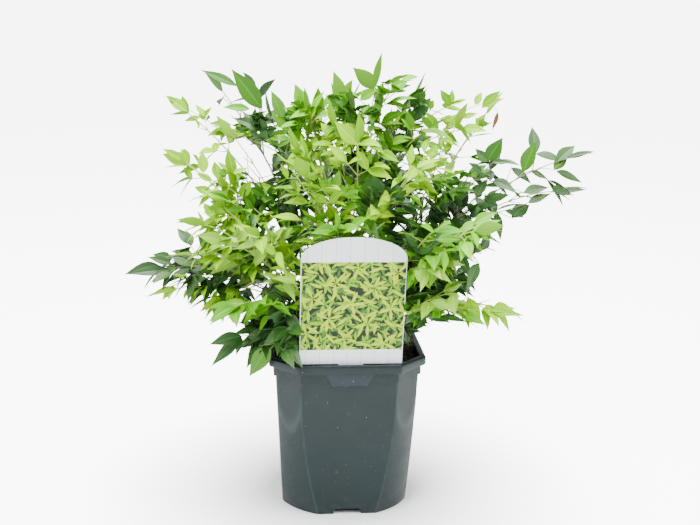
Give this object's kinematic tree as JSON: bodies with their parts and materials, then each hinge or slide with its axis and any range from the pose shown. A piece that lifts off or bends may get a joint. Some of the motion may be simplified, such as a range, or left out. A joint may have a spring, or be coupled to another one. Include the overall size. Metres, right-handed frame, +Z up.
{
  "type": "potted heavenly bamboo shrub",
  "caption": "Young heavenly bamboo: a clump of canes with compound leaves in a square-topped nursery pot, with a unlettered plant label.",
  "frame": {"origin": "centre of the pot's flat underside", "axes": "+Z up, -Y towards the side that the plant label faces, +X to the viewer's right"},
  "size_m": [0.505, 0.3723, 0.495],
  "materials": {
    "pot_plastic": "moulded dark blue-grey, satin, scuffed",
    "soil": "crumbly moist peat",
    "label_card": "printed, semi-gloss",
    "cane_bark": "green-brown bark, fine ridges",
    "leaf_dark": "smooth leaflets, soft sheen",
    "leaf_mid": "smooth leaflets, soft sheen",
    "leaf_bright": "smooth leaflets, soft sheen",
    "leaf_lime": "smooth leaflets, soft sheen",
    "leaf_pale": "smooth leaflets, soft sheen"
  },
  "bodies": {
    "root": {"cane_back": "cane_bark", "cane_front": "cane_bark", "cane_left": "cane_bark", "cane_left_back": "cane_bark", "cane_left_front": "cane_bark", "cane_middle": "cane_bark", "cane_right": "cane_bark", "cane_right_back": "cane_bark", "cane_right_front": "cane_bark", "foliage_back": "leaf_mid", "foliage_back_right": "leaf_mid", "foliage_far_left": "leaf_dark", "foliage_far_right": "leaf_dark", "foliage_front": "leaf_bright", "foliage_front_left": "leaf_bright", "foliage_front_low_left": "leaf_dark", "foliage_front_low_right": "leaf_dark", "foliage_front_top_left": "leaf_lime", "foliage_front_top_lime": "leaf_lime", "foliage_left_lime": "leaf_lime", "foliage_left_pale": "leaf_pale", "foliage_low_back": "leaf_dark", "foliage_low_back_left": "leaf_dark", "foliage_low_back_right": "leaf_dark", "foliage_low_left": "leaf_dark", "foliage_low_right": "leaf_dark", "foliage_low_right_lime": "leaf_lime", "foliage_right_bright": "leaf_bright", "foliage_right_droop": "leaf_dark", "foliage_top": "leaf_bright", "foliage_top_left": "leaf_bright", "foliage_top_right": "leaf_mid", "foliage_upper_left_dark": "leaf_mid", "foliage_upper_left_lime": "leaf_lime", "foliage_upper_right_lime": "leaf_lime", "label": "label_card", "pot": "pot_plastic", "soil": "soil"}
  },
  "joints": []
}
